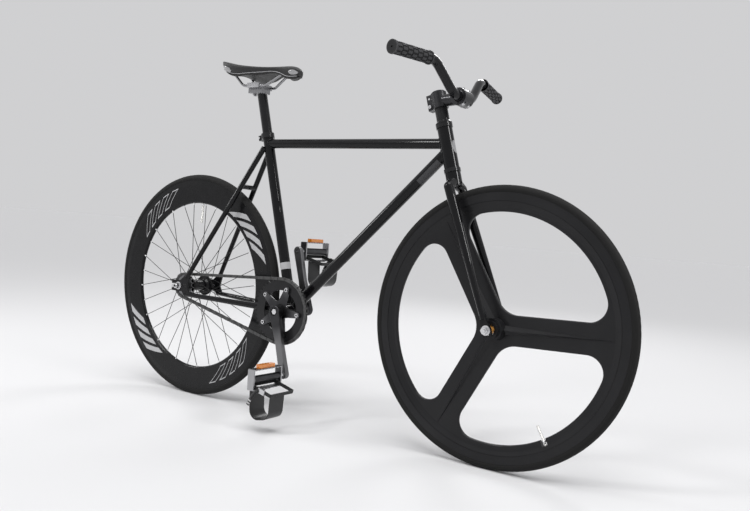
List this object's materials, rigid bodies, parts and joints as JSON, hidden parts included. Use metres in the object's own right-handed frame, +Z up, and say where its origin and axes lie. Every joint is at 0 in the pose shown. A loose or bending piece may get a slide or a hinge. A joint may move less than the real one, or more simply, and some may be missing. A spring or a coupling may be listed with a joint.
{
  "type": "fixed gear bike",
  "caption": "Fixed gear bike with a straight-tube frame, moulded-spoke front wheel, deep spoked rear wheel, riser bar, toe-clip pedals and a chain that always turns with the rear wheel.",
  "frame": {"origin": "on the ground midway between the two axles, in the bike's middle plane", "axes": "+X forward along the ground, +Y to the rider's left, +Z up"},
  "size_m": [1.6779, 0.5186, 0.9836],
  "materials": {
    "frame_paint": "gloss black",
    "black_alloy": "satin black",
    "gloss_black_alloy": "gloss black",
    "grey_alloy": "satin grey",
    "steel": "bright steel",
    "chain_steel": "dark oiled steel",
    "black_steel": "black steel",
    "nipple_metal": "nickel plated",
    "gold_alloy": "gold anodised",
    "wheel_composite": "satin charcoal",
    "tyre_rubber": "matte black",
    "tube_rubber": "matte black",
    "grip_rubber": "dark grey",
    "saddle_plastic": "black",
    "saddle_cover": "black",
    "pedal_alloy": "dark grey",
    "reflector": "amber",
    "clip_plastic": "black",
    "strap_cloth": "black webbing"
  },
  "bodies": {
    "frame": {"head_tube": "frame_paint", "top_tube": "frame_paint", "down_tube": "frame_paint", "seat_tube": "frame_paint", "bottom_bracket_shell": "frame_paint", "chainstays": "frame_paint", "seatstays": "frame_paint", "rear_dropouts": "frame_paint", "headset": "black_alloy", "seat_clamp": "black_alloy", "seat_clamp_bolt": "steel", "bottom_bracket_cartridge": "steel", "rear_axle": "steel", "rear_axle_nuts": "steel", "chain": "chain_steel"},
    "seat": {"seatpost": "grey_alloy", "saddle_clamp": "grey_alloy", "saddle_rails": "steel", "saddle_shell": "saddle_plastic", "saddle_pad": "saddle_cover"},
    "steering": {"steerer_tube": "steel", "fork_crown": "frame_paint", "fork_blades": "frame_paint", "headset_spacers": "black_alloy", "stem": "black_alloy", "stem_faceplate": "black_alloy", "stem_bolts": "steel", "stem_top_cap": "black_alloy", "handlebar": "gloss_black_alloy", "handlebar_grips": "grip_rubber", "front_axle": "steel", "front_axle_nuts": "steel", "front_hub_locknuts": "gold_alloy"},
    "front_wheel": {"tri_spoke_wheel": "wheel_composite", "front_tyre": "tyre_rubber", "front_inner_tube": "tube_rubber", "front_hub_bearings": "steel"},
    "rear_wheel": {"rear_rim": "black_alloy", "rear_tyre": "tyre_rubber", "rear_inner_tube": "tube_rubber", "rear_hub": "gloss_black_alloy", "rear_hub_bearings": "steel", "rear_spokes": "black_steel", "spoke_nipples": "nipple_metal", "fixed_cog": "steel", "cog_lockring": "steel"},
    "crankset": {"crank_spindle": "steel", "right_crank_arm": "grey_alloy", "left_crank_arm": "grey_alloy", "chainring": "black_alloy", "crankset_bolts": "steel", "pedal_axles": "steel"},
    "right_pedal": {"right_pedal": "pedal_alloy", "right_pedal_reflector": "reflector", "right_toe_clip": "clip_plastic", "right_toe_strap": "strap_cloth"},
    "left_pedal": {"left_pedal": "pedal_alloy", "left_pedal_reflector": "reflector", "left_toe_clip": "clip_plastic", "left_toe_strap": "strap_cloth"}
  },
  "joints": [
    {"name": "steering", "type": "hinge", "parent": "frame", "child": "steering", "pos_m": [0.46866, 0, 0.32289], "axis": [-0.2924, 0, 0.9563], "continuous": true},
    {"name": "front_wheel_spin", "type": "hinge", "parent": "steering", "child": "front_wheel", "pos_m": [0.505, 0, 0.334], "axis": [0, 1, 0], "continuous": true},
    {"name": "rear_wheel_spin", "type": "hinge", "parent": "frame", "child": "rear_wheel", "pos_m": [-0.505, 0, 0.334], "axis": [0, 1, 0], "continuous": true, "deforming": ["chain"]},
    {"name": "crank_spin", "type": "hinge", "parent": "frame", "child": "crankset", "pos_m": [-0.11966, 0, 0.302], "axis": [0, 1, 0], "continuous": true, "deforming": ["chain"]},
    {"name": "right_pedal_spin", "type": "hinge", "parent": "crankset", "child": "right_pedal", "pos_m": [-0.07566, 0, 0.13779], "axis": [0, 1, 0], "continuous": true},
    {"name": "left_pedal_spin", "type": "hinge", "parent": "crankset", "child": "left_pedal", "pos_m": [-0.16366, 0, 0.46621], "axis": [0, 1, 0], "continuous": true},
    {"name": "seat_height", "type": "slide", "parent": "frame", "child": "seat", "axis": [-0.2555, 0, 0.9668], "range_m": [-0.08, 0.11]}
  ],
  "couplings": [
    {"joint": "crank_spin", "follows": "rear_wheel_spin", "ratio": 0.38636}
  ]
}
